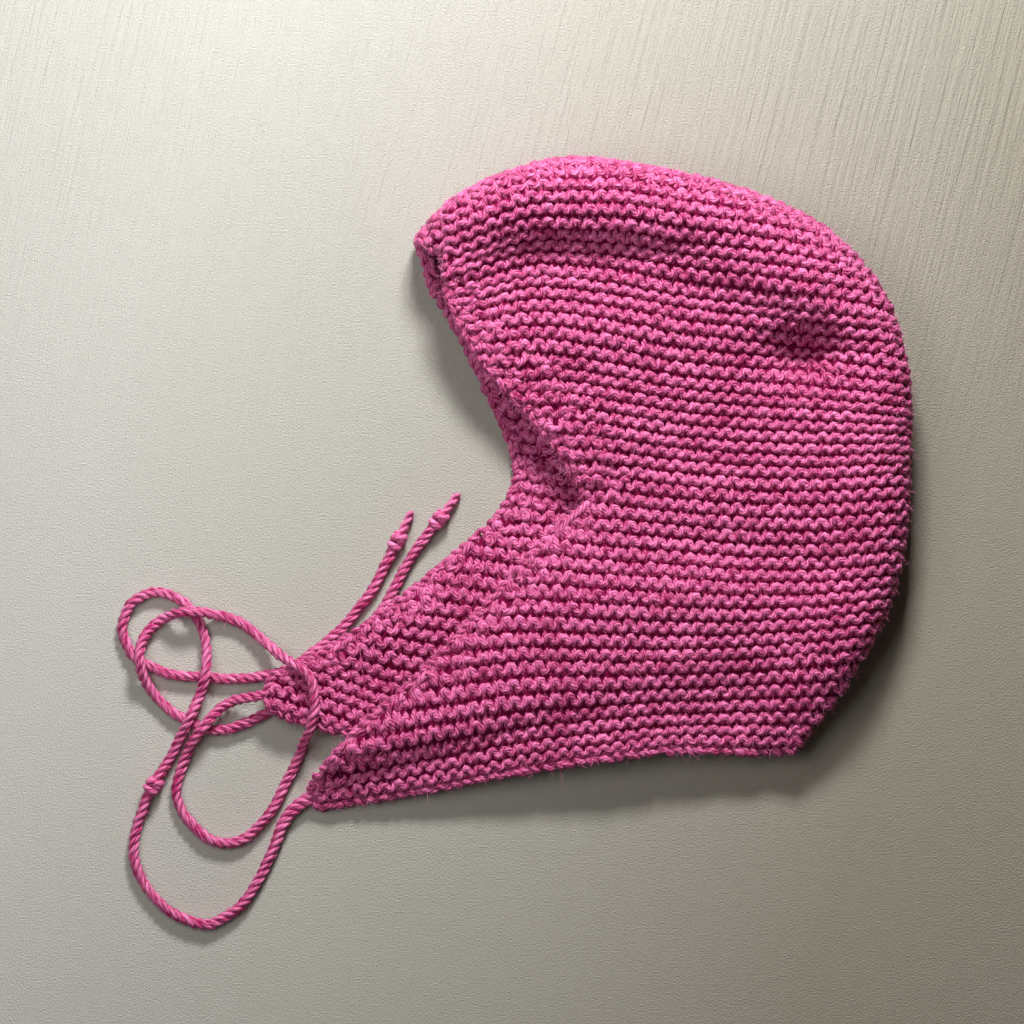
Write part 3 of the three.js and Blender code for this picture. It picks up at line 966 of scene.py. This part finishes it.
@dataclass
class Fuzz:
    """Loose wool fibres that stand out of the yarn, as flat ribbons that bend over."""

    count: int = 32000
    reach: float = 1.6 * MM
    width: float = 0.08 * MM
    joints: int = 3
    rim: float = 3.0 * MM
    rim_weight: float = 9.0

    def read(self, mesh: bpy.types.Mesh, key: str) -> Array:
        """A vector of every vertex, such as its place or its normal."""
        values = np.empty(len(mesh.vertices) * 3, dtype=np.float32)
        mesh.vertices.foreach_get(key, values)
        return values.reshape(-1, 3)

    def build(
        self, name: str, sources: list, outline: Array, material: bpy.types.Material
    ) -> bpy.types.Object:
        """Grows fibres from random points of the yarn pieces.

        Each fibre starts at a vertex, leaves along its normal with a random lean, and bends to one
        side with the square of its length. They stand closer together along the outline.

        Args:
            name: The piece's name.
            sources: The yarn pieces.
            outline: Plan points along the bonnet's outline.
            material: The fibres' material.

        Returns:
            The piece.
        """
        random = np.random.default_rng(SEED + 5)
        points, normals = (
            np.concatenate([self.read(source.data, key) for source in sources])
            for key in ("co", "normal")
        )
        weight = np.ones(len(points))
        batch = 20000
        for low in range(0, len(points), batch):
            part = points[low : low + batch, None, :2] - outline[None]
            close = np.min((part**2).sum(axis=-1), axis=1) < self.rim**2
            weight[low : low + batch] += self.rim_weight * close
        chosen = random.choice(len(points), self.count, replace=False, p=weight / weight.sum())
        start, normal = points[chosen], normals[chosen]
        lean = unit(normal + random.normal(0, 0.7, start.shape))
        bend = unit(random.normal(0, 1, start.shape))
        reach = self.reach * random.gamma(3.0, 0.24, self.count)
        part = np.linspace(0, 1, self.joints)
        line = (
            start[:, None]
            + lean[:, None] * (reach[:, None] * part)[..., None]
            + bend[:, None] * (reach[:, None] * 0.6 * part**2)[..., None]
        )
        line[..., 2] = np.maximum(line[..., 2], 0.05 * MM)
        taper = self.width * (1 - 0.7 * part)
        across = unit(np.cross(lean, bend))[:, None] * taper[None, :, None]
        ribbon = np.stack([line - across / 2, line + across / 2], axis=2)
        index = np.arange(self.count * self.joints * 2).reshape(self.count, self.joints, 2)
        quads = np.stack([index[:, :-1, 0], index[:, 1:, 0], index[:, 1:, 1], index[:, :-1, 1]], -1)
        quads = quads.reshape(-1, 4)
        parts = MeshParts()
        uv = np.zeros((quads.size, 2))
        parts.add(ribbon.reshape(-1, 3), quads, uv, np.zeros(self.count * self.joints * 2))
        return parts.make(name, material)


class Tree:
    """A material's nodes, with short ways to add those that the finishes share."""

    def __init__(self, name: str) -> None:
        """Starts a material that has its shader alone.

        Args:
            name: The material's name.
        """
        self.material = bpy.data.materials.new(name)
        self.material.use_nodes = True
        self.nodes = self.material.node_tree.nodes
        self.links = self.material.node_tree.links
        self.shader = self.nodes["Principled BSDF"]

    def feed(self, node: bpy.types.Node, inputs: dict) -> None:
        """Sets a node's inputs, by name or number, to numbers or to other nodes' outputs."""
        for key, value in inputs.items():
            if isinstance(value, bpy.types.NodeSocket):
                self.links.new(value, node.inputs[key])
            else:
                node.inputs[key].default_value = value

    def add(self, kind: str, inputs: dict | None = None) -> bpy.types.Node:
        """A new shader node of a kind, with its inputs."""
        node = self.nodes.new("ShaderNode" + kind)
        self.feed(node, inputs or {})
        return node

    def maths(self, kind: str, *values: object, clamp: bool = False) -> bpy.types.NodeSocket:
        """The result of a Math node of that kind on sockets or numbers."""
        node = self.nodes.new("ShaderNodeMath")
        node.operation = kind
        node.use_clamp = clamp
        self.feed(node, dict(enumerate(values)))
        return node.outputs[0]

    def split(self, vector: bpy.types.NodeSocket) -> tuple:
        """The x and the y of a vector."""
        node = self.add("SeparateXYZ", {"Vector": vector})
        return node.outputs["X"], node.outputs["Y"]

    def noise(
        self, vector: bpy.types.NodeSocket, scale: float, detail: float, roughness: float = 0.5
    ) -> bpy.types.NodeSocket:
        """A noise texture's value at a vector."""
        inputs = {"Vector": vector, "Scale": scale, "Detail": detail, "Roughness": roughness}
        return self.add("TexNoise", inputs).outputs["Fac"]

    def finish(
        self,
        tone: bpy.types.NodeSocket,
        stops: tuple[tuple[float, Colour], tuple[float, Colour]],
        height: bpy.types.NodeSocket,
        bump: tuple[float, float],
        numbers: dict[str, object],
    ) -> bpy.types.Material:
        """Colours and bumps the shader and sets its numbers.

        Args:
            tone: What the colour ramp reads.
            stops: The ramp's two positions, each with its colour.
            height: What the bump reads.
            bump: The bump's strength and its distance in metres.
            numbers: The shader's other inputs.

        Returns:
            The material.
        """
        ramp = self.add("ValToRGB", {"Fac": tone})
        for element, (position, colour) in zip(ramp.color_ramp.elements, stops):
            element.position = position
            element.color = (*colour, 1)
        relief = self.add("Bump", {"Strength": bump[0], "Distance": bump[1], "Height": height})
        self.feed(self.shader, {"Base Color": ramp.outputs["Color"]})
        self.feed(self.shader, {"Normal": relief.outputs["Normal"]})
        self.feed(self.shader, numbers)
        return self.material


@dataclass(frozen=True)
class WoolFinish:
    """Plied wool: streaks along the twist, painted shade in the grooves between the plies, tones from
    stitch to stitch, which carry the painted shade of the legs too.

    UV u is the distance along the yarn in metres and v the share of the way round it.
    """

    name: str
    dark: Colour
    light: Colour
    plies: float = 2.0
    twist: float = 300.0
    sheen: float = 0.14
    bump: float = 0.8
    groove_shade: float = 0.45
    streak_along: float = 1700.0
    streak_round: float = 11.0
    streak_drift: float = 230.0

    def make(self) -> bpy.types.Material:
        """Builds the node material."""
        tree = Tree(self.name)
        maths = tree.maths
        yarn_map = tree.add("UVMap")
        yarn_map.uv_map = "UVMap"
        u, v = tree.split(yarn_map.outputs["UV"])
        wound = maths("ADD", maths("MULTIPLY", u, self.twist), maths("MULTIPLY", v, self.plies))
        wave = maths("ABSOLUTE", maths("SINE", maths("MULTIPLY", wound, math.pi)))
        ply = maths("POWER", wave, 0.6)
        slant = maths("MULTIPLY", u, self.streak_along)
        slant = maths("ADD", slant, maths("MULTIPLY", v, self.streak_round))
        drift = maths("MULTIPLY", u, self.streak_drift)
        place = tree.add("CombineXYZ", {"X": slant, "Y": drift})
        fibres = tree.noise(place.outputs["Vector"], 1.0, 3.0, 0.6)
        cloud = tree.noise(tree.add("TexCoord").outputs["Object"], 60.0, 2.0)
        tone = tree.add("Attribute")
        tone.attribute_name = "tone"
        # Painted shade: the ply term darkens the colour in the grooves between the plies, and the tone
        # attribute darkens the legs.
        weight = maths("MULTIPLY", fibres, 3.0)
        for value, share in ((ply, self.groove_shade), (tone.outputs["Fac"], 0.22), (cloud, 0.4)):
            weight = maths("ADD", weight, maths("MULTIPLY", value, share))
        weight = maths("SUBTRACT", weight, 1.34 + 0.62 * self.groove_shade)
        height = maths("ADD", ply, maths("MULTIPLY", fibres, 0.9))
        numbers = {
            "Roughness": 0.50,
            "Specular IOR Level": 0.34,
            "Sheen Weight": self.sheen,
            "Sheen Roughness": 0.45,
            "Sheen Tint": (1.0, 0.55, 0.78, 1),
        }
        stops = ((0.0, self.dark), (1.0, self.light))
        return tree.finish(weight, stops, height, (self.bump, 0.45 * MM), numbers)


@dataclass(frozen=True)
class PlainFinish:
    """A matt finish whose colour changes slowly over the surface."""

    name: str
    dark: Colour
    light: Colour
    scale: float

    def make(self) -> bpy.types.Material:
        """Builds the node material."""
        tree = Tree(self.name)
        noise = tree.noise(tree.add("TexCoord").outputs["Object"], self.scale, 5.0)
        stops = ((0.3, self.dark), (0.7, self.light))
        numbers = {"Roughness": 0.9, "Specular IOR Level": 0.15}
        return tree.finish(noise, stops, noise, (0.25, 0.2 * MM), numbers)


@dataclass(frozen=True)
class BoardFinish:
    """Thick pale paint with brush marks, fine grit and painted light: the board is paler at the left
    and top and darker at the right and bottom, in place of the lamp's falloff.

    The painted falloff is slope_x x + slope_y y + level, x and y in metres, with a little cloud of
    random tone.
    """

    pale: Colour = (0.585, 0.562, 0.512)
    deep: Colour = (0.335, 0.298, 0.234)
    slope_x: float = 4.0
    slope_y: float = -1.2
    level: float = 0.60
    cloud: float = 0.10
    brushing: float = 1.9

    def make(self) -> bpy.types.Material:
        """Builds the node material."""
        tree = Tree("painted_board")
        maths = tree.maths
        position = tree.add("TexCoord").outputs["Object"]

        def noise(scale: Colour, detail: float, turn: float = 0.0) -> bpy.types.NodeSocket:
            """Noise over the board, with its own scale along x and y, turned by some degrees."""
            mapping = tree.nodes.new("ShaderNodeMapping")
            mapping.vector_type = "TEXTURE"
            size = tuple(1 / value for value in scale)
            rotation = (0, 0, math.radians(turn))
            tree.feed(mapping, {"Vector": position, "Scale": size, "Rotation": rotation})
            return tree.noise(mapping.outputs["Vector"], 1.0, detail, 0.6)

        x, y = tree.split(position)
        # Painted light: the colour goes from pale at the left and top to deep at the right and bottom,
        # in place of the lamp's falloff over the board.
        shade = maths("MULTIPLY_ADD", y, self.slope_y, maths("MULTIPLY", x, self.slope_x))
        shade = maths("ADD", shade, self.level, clamp=True)
        shade = maths("MULTIPLY_ADD", noise((9.0, 9.0, 9.0), 2.0), self.cloud, shade)
        grit = noise((2600.0, 2100.0, 2100.0), 3.0)
        strokes = noise((620.0, 26.0, 100.0), 3.0, -14.0)
        brushed = maths("MULTIPLY_ADD", y, 9.0, 0.2, clamp=True)
        height = maths("MULTIPLY_ADD", maths("MULTIPLY", strokes, brushed), self.brushing, grit)
        stops = ((0.05, self.pale), (1.0, self.deep))
        numbers = {"Roughness": 0.42, "Specular IOR Level": 0.45}
        return tree.finish(shade, stops, height, (0.90, 0.60 * MM), numbers)


@dataclass(frozen=True)
class Lamp:
    """A rectangular area light: its place, aim and size in metres, its watts and its colour."""

    name: str
    place: tuple[float, float, float]
    aim: tuple[float, float, float]
    size: tuple[float, float]
    power: float
    color: Colour


@dataclass
class Studio:
    """The pale board, the window light, the fill and the camera straight above."""

    pixel: float = 0.27 * MM
    image: float = 1024.0
    centre_x: float = -34.6 * MM
    centre_y: float = -11.3 * MM
    distance: float = 2.4
    floor_half: float = 1.6
    lamps: tuple[Lamp, ...] = (
        Lamp(
            "window", (0.01, 0.41, 0.30), (-0.07, 0.04, 0.0), (0.13, 0.09), 4.05, (0.985, 1.0, 1.0)
        ),
        Lamp(
            "high_fill", (-0.27, 0.04, 0.46), (-0.18, 0.0, 0.0), (0.38, 0.34), 1.2, (0.98, 1.0, 1.0)
        ),
    )

    def build(self) -> None:
        """Makes the floor, the lights, the world and the camera."""
        self.make_floor()
        self.make_lights()
        self.make_camera()

    def make_floor(self) -> None:
        """A flat painted board at z = 0, under everything."""
        half = self.floor_half
        mesh = bpy.data.meshes.new("floor")
        corners = [(-half, -half, 0), (half, -half, 0), (half, half, 0), (-half, half, 0)]
        mesh.from_pydata(corners, [], [(0, 1, 2, 3)])
        mesh.materials.append(BoardFinish().make())
        floor = bpy.data.objects.new("floor", mesh)
        bpy.context.scene.collection.objects.link(floor)
        floor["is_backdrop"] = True

    def make_lights(self) -> None:
        """The lamps, and a weak even light from all round."""
        scene = bpy.context.scene
        world = bpy.data.worlds.new("room")
        world.use_nodes = True
        background = world.node_tree.nodes["Background"]
        background.inputs["Color"].default_value = (1.0, 0.90, 0.80, 1)
        background.inputs["Strength"].default_value = 0.05
        scene.world = world
        for lamp in self.lamps:
            data = bpy.data.lights.new(lamp.name, "AREA")
            data.shape = "RECTANGLE"
            data.size, data.size_y = lamp.size
            data.energy = lamp.power
            data.color = lamp.color
            light = bpy.data.objects.new(lamp.name, data)
            scene.collection.objects.link(light)
            light.location = lamp.place
            aim = np.array(lamp.aim) - np.array(lamp.place)
            light.rotation_mode = "QUATERNION"
            light.rotation_quaternion = Vector(aim).to_track_quat("-Z", "Y")
        scene.view_settings.view_transform = "Standard"
        scene.view_settings.look = "None"

    def make_camera(self) -> None:
        """Looks straight down, with the crown at the top of the picture."""
        data = bpy.data.cameras.new("camera")
        half = self.pixel * self.image / 2
        data.sensor_width = 36.0
        data.lens = data.sensor_width / 2 * self.distance / half
        data.clip_start = 0.01
        data.clip_end = 10.0
        camera = bpy.data.objects.new("camera", data)
        bpy.context.scene.collection.objects.link(camera)
        camera.location = (self.centre_x, self.centre_y, self.distance)
        bpy.context.scene.camera = camera


NEAR_ROUTE = (
    (-88.7, -88.3, 0.05), (-91.4, -89.8, 0.02), (-95.9, -94.5, 0), (-98.8, -101.8, 0),
    (-103.4, -111.2, 0), (-107.2, -116.9, 0), (-111.8, -120.4, 0), (-116.6, -122.6, 0),
    (-121.8, -121.5, 0), (-126.9, -119.1, 0), (-131.5, -114.8, 0), (-134.5, -110.4, 0),
    (-136.4, -105.6, 0), (-136.6, -101.0, 0), (-135.8, -96.4, 0.05), (-134.5, -92.3, 0.2),
    (-133.2, -88.6, 0.36), (-131.2, -85.0, 0.42), (-129.4, -81.6, 0.36), (-126.9, -77.8, 0.2),
    (-123.7, -71.3, 0.7), (-122.0, -68.0, 1.12), (-121.0, -65.8, 1.08), (-118.8, -60.8, 0.62),
    (-117.3, -55.6, 1.12), (-116.9, -50.2, 0.45), (-117.5, -45.1, 0.05), (-118.8, -41.3, 0),
    (-120.7, -38.6, 0), (-122.9, -35.9, 0), (-126.6, -33.8, 0), (-130.7, -32.9, 0),
    (-134.5, -34.0, 0), (-137.7, -36.5, 0), (-139.3, -40.0, 0), (-139.6, -44.0, 0),
    (-138.2, -47.8, 0), (-136.4, -50.5, 0), (-131.5, -53.2, 0), (-127.7, -54.8, 0),
    (-123.4, -55.6, 0), (-117.3, -55.7, 0), (-113.4, -56.2, 0), (-106.9, -56.2, 0),
    (-100.7, -55.4, 0), (-96.4, -54.3, 0), (-92.9, -52.7, 0), (-89.6, -50.2, 0),
    (-86.2, -47.6, 0), (-82.6, -44.6, 0), (-79.4, -41.6, 0), (-76.7, -38.1, 0),
    (-72.6, -32.9, 0), (-69.9, -27.8, 0.05), (-67.8, -23.6, 0.2), (-66.7, -21.4, 0.28),
)
FAR_ROUTE = (
    (-101.0, -60.5, 1.4), (-103.4, -60.9, 1.3), (-106.4, -61.4, 0.95), (-109.2, -62.1, 0.6),
    (-113.4, -64.3, 0.7), (-116.7, -67.9, 1.1), (-118.0, -69.7, 1.12), (-119.7, -71.8, 0.85),
    (-122.1, -76.0, 0.15), (-123.7, -80.2, 0), (-124.8, -84.0, 0), (-125.1, -88.0, 0),
    (-123.8, -91.7, 0), (-121.8, -94.6, 0), (-117.5, -98.8, 0), (-112.3, -100.7, 0),
    (-107.2, -99.6, 0), (-102.3, -95.4, 0), (-98.3, -89.9, 0), (-95.9, -84.8, 0),
    (-93.2, -79.9, 0.05), (-91.5, -75.6, 0.5), (-90.2, -72.4, 1.35), (-88.9, -69.4, 2.15),
    (-87.9, -65.9, 2.4), (-87.7, -61.9, 2.45), (-88.1, -58.2, 2.5), (-89.6, -54.9, 2.5),
    (-92.1, -52.7, 2.45), (-95.3, -51.0, 1.6), (-99.6, -47.8, 0.65), (-102.6, -45.1, 0.2),
    (-108.3, -41.0, 0), (-113.4, -39.4, 0.2), (-118.5, -38.3, 1.1), (-121.5, -38.1, 1.26),
    (-124.2, -38.4, 1.1), (-128.5, -40.0, 0.15), (-132.3, -42.9, 0.05), (-134.3, -46.2, 0.55),
    (-135.0, -49.6, 1.05), (-134.9, -51.8, 1.12), (-134.5, -54.4, 0.8), (-133.2, -57.4, 0.2),
    (-130.7, -61.0, 0), (-127.2, -64.5, 0), (-123.1, -67.2, 0), (-116.4, -70.0, 0),
    (-111.5, -69.9, 0), (-106.7, -68.3, 0), (-102.1, -66.2, 0), (-98.6, -64.3, 0),
    (-94.2, -61.0, 0), (-89.1, -56.7, 0), (-84.0, -51.8, 0), (-80.8, -49.5, 0),
    (-77.5, -47.8, 0), (-74.8, -44.3, 0), (-72.1, -40.8, 0), (-68.6, -36.2, 0),
    (-66.4, -31.9, 0), (-64.3, -27.8, 0), (-62.1, -24.0, 0), (-59.7, -20.3, 0.05),
    (-57.3, -17.2, 0.2), (-55.9, -15.4, 0.28),
)
JOIN_POINT = 17

STATIONS = (-0.60, -0.48, -0.373, -0.264, -0.156, -0.047, 0.062, 0.171, 0.264, 0.342, 0.412, 0.467)
RIDGES = (0, 2.8, 6.4, 10.5, 17.2, 24.8, 31.9, 39.1, 45.3, 49.4)
# Heights shared by both layers, from the crown's outline down to the level of the face's corner
UPPER_GUIDES = (
    (0.300, 0.350, 0.412, 0.466, 0.502, 0.510, 0.491, 0.473, 0.453, 0.435, 0.418, 0.400),
    (0.230, 0.290, 0.358, 0.409, 0.446, 0.448, 0.432, 0.417, 0.400, 0.383, 0.368, 0.352),
    (0.150, 0.215, 0.288, 0.345, 0.380, 0.378, 0.362, 0.348, 0.333, 0.318, 0.304, 0.290),
    (0.080, 0.150, 0.226, 0.277, 0.303, 0.294, 0.274, 0.262, 0.251, 0.240, 0.229, 0.219),
    (0.020, 0.080, 0.132, 0.166, 0.172, 0.158, 0.138, 0.128, 0.121, 0.114, 0.107, 0.101),
)
NEAR_GUIDES = UPPER_GUIDES + (
    (0.010, 0.020, 0.025, 0.027, 0.018, 0.010, -0.004, -0.012, -0.014, -0.010, -0.006, -0.004),
    (-0.175, -0.165, -0.150, -0.134, -0.135, -0.143, -0.150, -0.157, -0.157, -0.151, -0.143, -0.140),
    (-0.370, -0.350, -0.330, -0.312, -0.303, -0.303, -0.302, -0.297, -0.291, -0.280, -0.264, -0.257),
    (-0.530, -0.505, -0.489, -0.468, -0.447, -0.433, -0.421, -0.421, -0.421, -0.419, -0.416, -0.413),
    (-0.620, -0.595, -0.578, -0.556, -0.535, -0.521, -0.510, -0.509, -0.509, -0.507, -0.504, -0.501),
)
FAR_GUIDES = UPPER_GUIDES + (
    (0.010, 0.026, 0.036, 0.038, 0.030, 0.018, 0.000, -0.012, -0.014, -0.010, -0.006, -0.004),
    (-0.070, -0.088, -0.100, -0.108, -0.120, -0.133, -0.146, -0.156, -0.157, -0.151, -0.143, -0.140),
    (-0.200, -0.232, -0.256, -0.272, -0.286, -0.296, -0.299, -0.297, -0.291, -0.280, -0.264, -0.257),
    (-0.320, -0.356, -0.392, -0.408, -0.414, -0.415, -0.413, -0.416, -0.419, -0.419, -0.416, -0.413),
    (-0.410, -0.446, -0.475, -0.494, -0.505, -0.513, -0.516, -0.517, -0.517, -0.515, -0.512, -0.510),
)
BANDS = ("knit_crown", "knit_temple", "knit_side", "knit_nape", "knit_flaps")


def dress(piece: bpy.types.Object, slot: Slot, *nodes: str) -> None:
    """Rides a piece on the root body, hides the model's nodes that it stands for, and logs it."""
    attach(piece, "root")
    if nodes:
        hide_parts(*nodes)
    LOG.info("%s: %d faces", piece.name, len(piece.data.polygons))


def make_cords(material: bpy.types.Material) -> list[bpy.types.Object]:
    made = []
    level = np.array([1.0, 1.0, 0.0])
    end_radius = 2.35 * MM
    for cord, end_name, has_join in (
        (TieCord("cord_near", "tie_cord_near", NEAR_ROUTE, thick_start=0.3), "end_knot_near", True),
        (TieCord("cord_far", "tie_cord_far", FAR_ROUTE), "end_knot_far", False),
    ):
        line = cord.centreline()
        piece = cord.build(line, material)
        dress(piece, Slot.CORD, cord.node)
        direction = unit((line[-1] - line[-6]) * level)
        centre = line[-1] + direction * (0.3 + 2.4) * MM
        centre[2] = max(centre[2], end_radius)
        knots = [Knot(end_name, centre, direction, end_radius, 5.0 * MM, 6.0 * MM)]
        if has_join:
            points = cord.points()
            direction = (points[JOIN_POINT + 1] - points[JOIN_POINT - 1]) * level
            knots.append(Knot("join_knot", points[JOIN_POINT], direction, 2.7 * MM, 4.4 * MM))
        with_pieces = []
        for knot in knots:
            with_pieces.append(knot.build(material))
            dress(with_pieces[-1], Slot.CORD, knot.node)
        float(lengths_along(line)[-1])
        made.extend([piece, *with_pieces])
    return made


def main() -> None:
    """Builds the studio, the cords, the knitting and its fibres, in that order."""
    logging.basicConfig(level=logging.INFO, format="%(message)s")
    Studio().build()
    wool = WoolFinish(
        "rose_wool",
        dark=(0.31, 0.0003, 0.074),
        light=(0.87, 0.205, 0.465),
        plies=4.0,
        twist=700.0,
        bump=0.5,
        groove_shade=0.50,
    ).make()
    cord_wool = WoolFinish("rose_cord_wool", (0.44, 0.004, 0.110), (0.92, 0.27, 0.53)).make()
    # Painted shade: the dark colours of the sheet in the middle of the fabric, seen through the gaps
    # between the loops.
    shaded = PlainFinish("shaded_wool", (0.115, 0.0003, 0.026), (0.17, 0.0005, 0.041), 900.0)
    fibre = PlainFinish("loose_fibre", (0.86, 0.20, 0.45), (0.93, 0.34, 0.58), 200.0)
    shade_sheet_finish, fibre_finish = shaded.make(), fibre.make()
    cords = make_cords(cord_wool)
    shape = BonnetShape()
    near = Layer(shape, Side.NEAR)
    far = Layer(shape, Side.FAR)
    near.meet(far)
    near_plan = RowPlan(shape, STATIONS, RIDGES, NEAR_GUIDES)
    far_plan = RowPlan(shape, STATIONS, RIDGES, FAR_GUIDES)
    knitting = Garter(shape, near, far, near_plan, far_plan).build(BANDS, wool)
    for piece in knitting:
        dress(piece, Slot.KNIT, "bonnet_body")
    selvage = Selvage(near, far).build("edge_chain", wool)
    dress(selvage, Slot.KNIT, "bonnet_body")
    # A dark sheet in the middle of the fabric, painted shade for the gaps between the loops.
    shade_sheet = ShadeSheet(near, far).build("painted_shade_sheet", shade_sheet_finish)
    dress(shade_sheet, Slot.KNIT, "bonnet_body")
    outline = np.concatenate([near.points[:, 0, :2], near.points[:, -1, :2]])[::3]
    fuzz = Fuzz().build("loose_fibres", [*knitting, selvage, *cords], outline, fibre_finish)
    dress(fuzz, Slot.KNIT, "bonnet_body")
    sizes = {"cad": CAD_BOX, "visual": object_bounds()}
    plain = {name: [list(corner) for corner in box] for name, box in sizes.items()}


if __name__ == "__main__":
    main()
